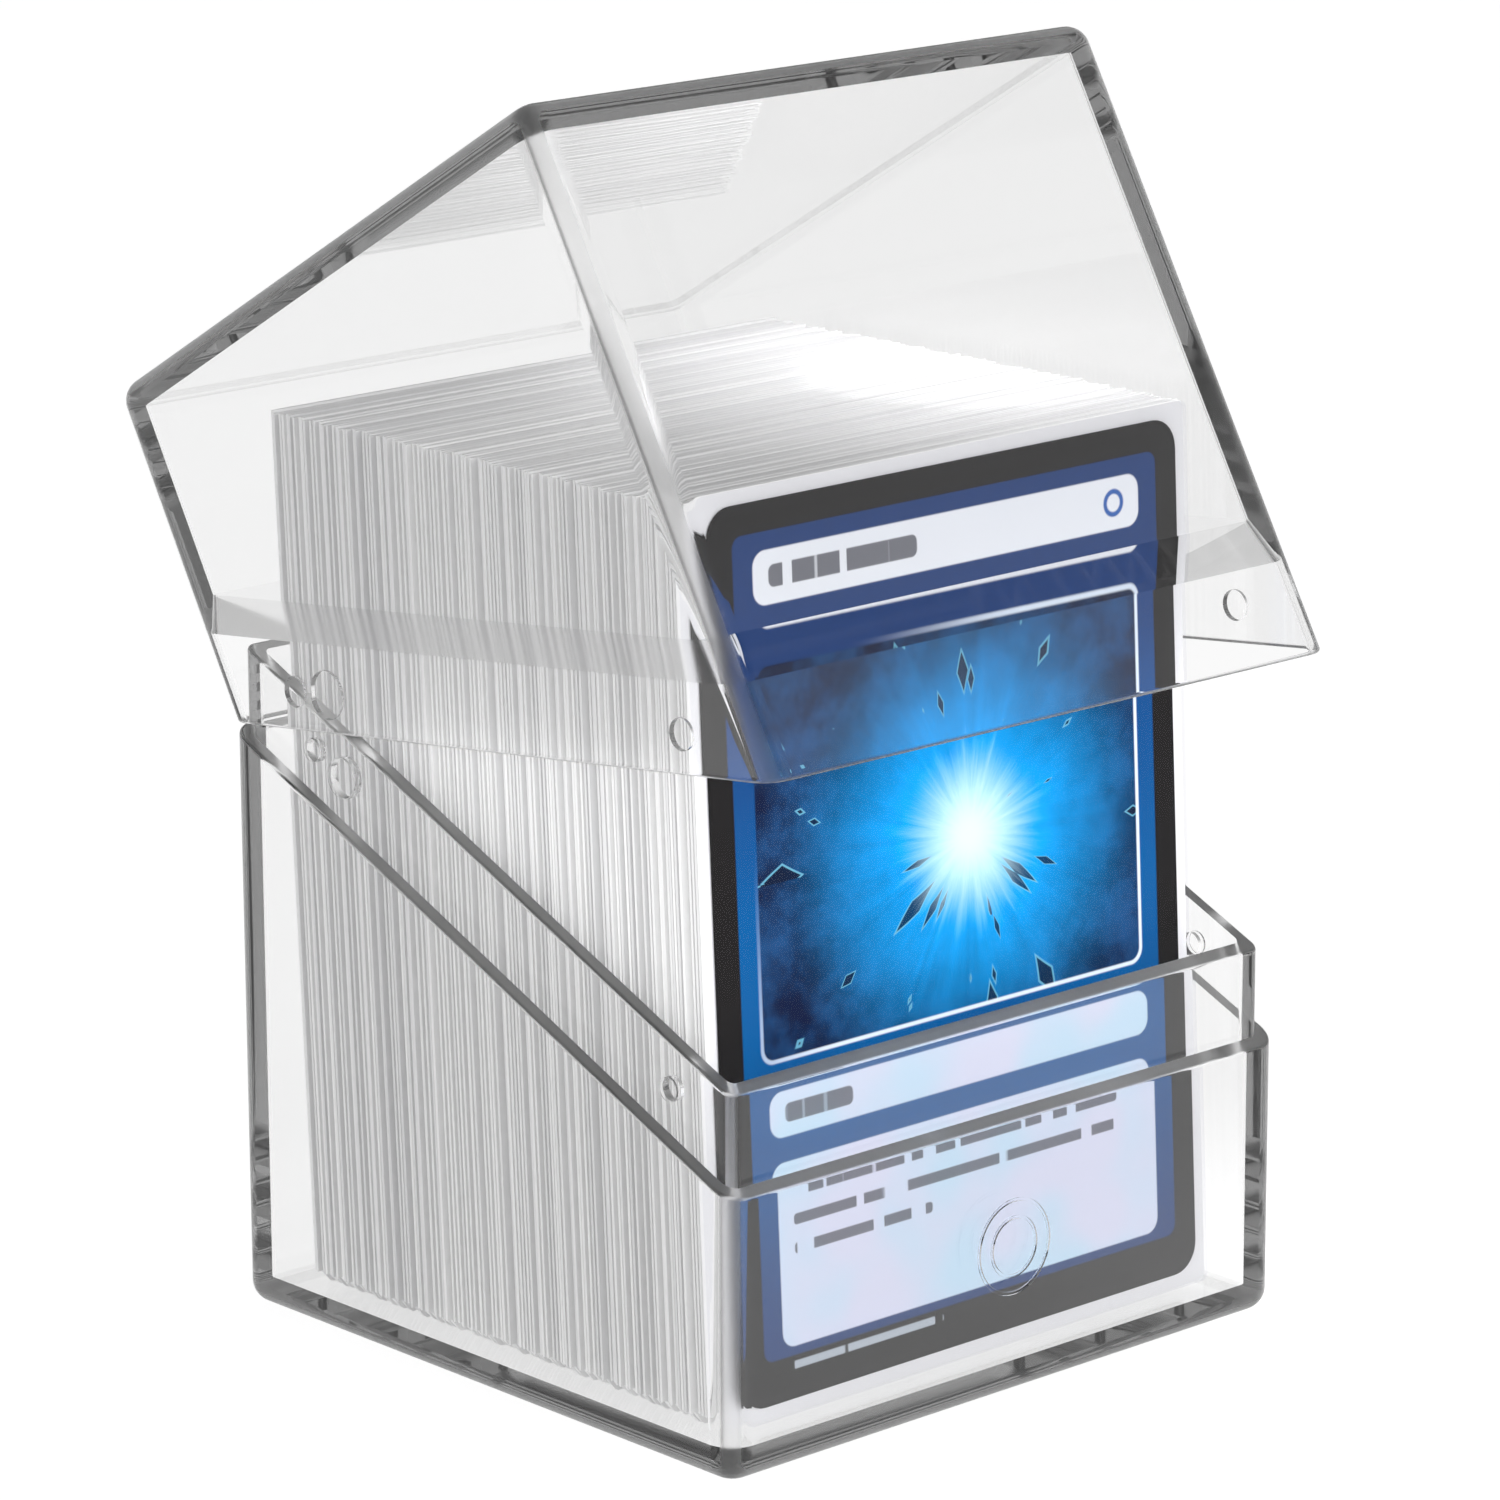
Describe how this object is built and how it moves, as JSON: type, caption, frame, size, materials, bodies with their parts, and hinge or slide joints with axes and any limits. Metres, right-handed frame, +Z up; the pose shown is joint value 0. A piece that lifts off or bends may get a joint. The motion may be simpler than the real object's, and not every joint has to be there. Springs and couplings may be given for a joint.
{
  "type": "card deck box",
  "caption": "Clear rigid deck box with a stepped collar and a tilting lid, open over an upright deck of sleeved cards.",
  "frame": {"origin": "centre of the base's flat underside", "axes": "+Z up, out of the open box; -Y out of the front, where the rim is low; +X across the front"},
  "size_m": [0.076, 0.0984, 0.1297],
  "materials": {
    "clear_plastic": "clear gloss",
    "printed_card": "printed card",
    "sleeve_film": "clear film",
    "sleeved_card": "satin edges"
  },
  "bodies": {
    "base": {"base_case": "clear_plastic", "front_card": "printed_card", "front_card_sleeve": "sleeve_film", "sleeved_cards_01": "sleeved_card", "sleeved_cards_02": "sleeved_card", "sleeved_cards_03": "sleeved_card", "sleeved_cards_04": "sleeved_card", "sleeved_cards_05": "sleeved_card", "sleeved_cards_06": "sleeved_card", "sleeved_cards_07": "sleeved_card", "sleeved_cards_08": "sleeved_card", "sleeved_cards_09": "sleeved_card", "sleeved_cards_10": "sleeved_card", "sleeved_cards_11": "sleeved_card", "sleeved_cards_12": "sleeved_card", "sleeved_cards_13": "sleeved_card", "sleeved_cards_14": "sleeved_card", "sleeved_cards_15": "sleeved_card", "sleeved_cards_16": "sleeved_card", "sleeved_cards_17": "sleeved_card", "sleeved_cards_18": "sleeved_card", "sleeved_cards_19": "sleeved_card", "sleeved_cards_20": "sleeved_card"},
    "lid": {"lid_case": "clear_plastic"}
  },
  "joints": [
    {"name": "lid_tilt", "type": "hinge", "parent": "base", "child": "lid", "pos_m": [0, 0.0375, 0.0615], "axis": [-1, 0, 0], "range_deg": [-30, 60]}
  ]
}
